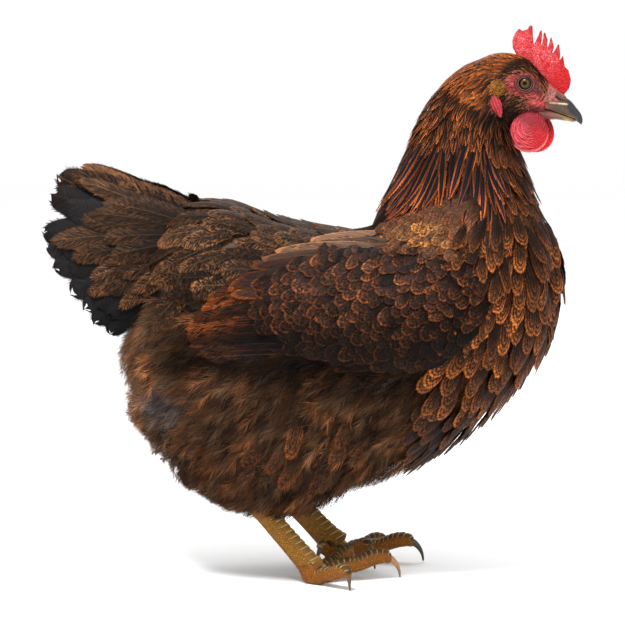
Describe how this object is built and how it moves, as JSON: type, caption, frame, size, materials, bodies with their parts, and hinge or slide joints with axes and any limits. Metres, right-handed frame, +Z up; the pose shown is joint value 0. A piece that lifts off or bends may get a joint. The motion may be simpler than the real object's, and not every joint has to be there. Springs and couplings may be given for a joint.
{
  "type": "chicken",
  "caption": "Standing brown laced hen with a red single comb and wattles, folded wings, fanned tail, full hackle and scaly yellow-brown legs.",
  "frame": {"origin": "on the floor, under the middle of the hen's bounding box", "axes": "+X forward to the beak, +Y to the hen's left, +Z up"},
  "size_m": [0.393, 0.1886, 0.3968],
  "materials": {
    "body_feathers": "dark brown contour feathers with orange-brown lacing",
    "fluff": "soft brown-grey down",
    "wing_feathers": "dark brown vanes with orange-brown lacing and peppering",
    "tail_feathers": "blackish brown vanes with worn tips",
    "hackle_feathers": "blue-black feathers with orange edges",
    "face_skin": "bare wrinkled red skin with bristles",
    "comb_flesh": "bright red pebbled flesh",
    "horn": "dark smooth horn, yellowish at the edges",
    "eye": "wet orange-brown iris with a black pupil",
    "leg_scales": "yellow-brown scutes with dusky edges"
  },
  "bodies": {
    "root": {"torso": "body_feathers", "thigh_right": "fluff", "thigh_left": "fluff", "wing_right": "wing_feathers", "wing_left": "wing_feathers", "tail": "tail_feathers", "neck": "hackle_feathers", "head": "face_skin", "comb": "comb_flesh", "beak_upper": "horn", "beak_lower": "horn", "eye_right": "eye", "wattle_right": "comb_flesh", "earlobe_right": "comb_flesh", "foot_right": "leg_scales", "shank_right": "leg_scales", "claw_inner_right": "horn", "claw_middle_right": "horn", "claw_outer_right": "horn", "claw_hind_right": "horn", "eye_left": "eye", "wattle_left": "comb_flesh", "earlobe_left": "comb_flesh", "foot_left": "leg_scales", "shank_left": "leg_scales", "claw_inner_left": "horn", "claw_middle_left": "horn", "claw_outer_left": "horn", "claw_hind_left": "horn"}
  },
  "joints": []
}
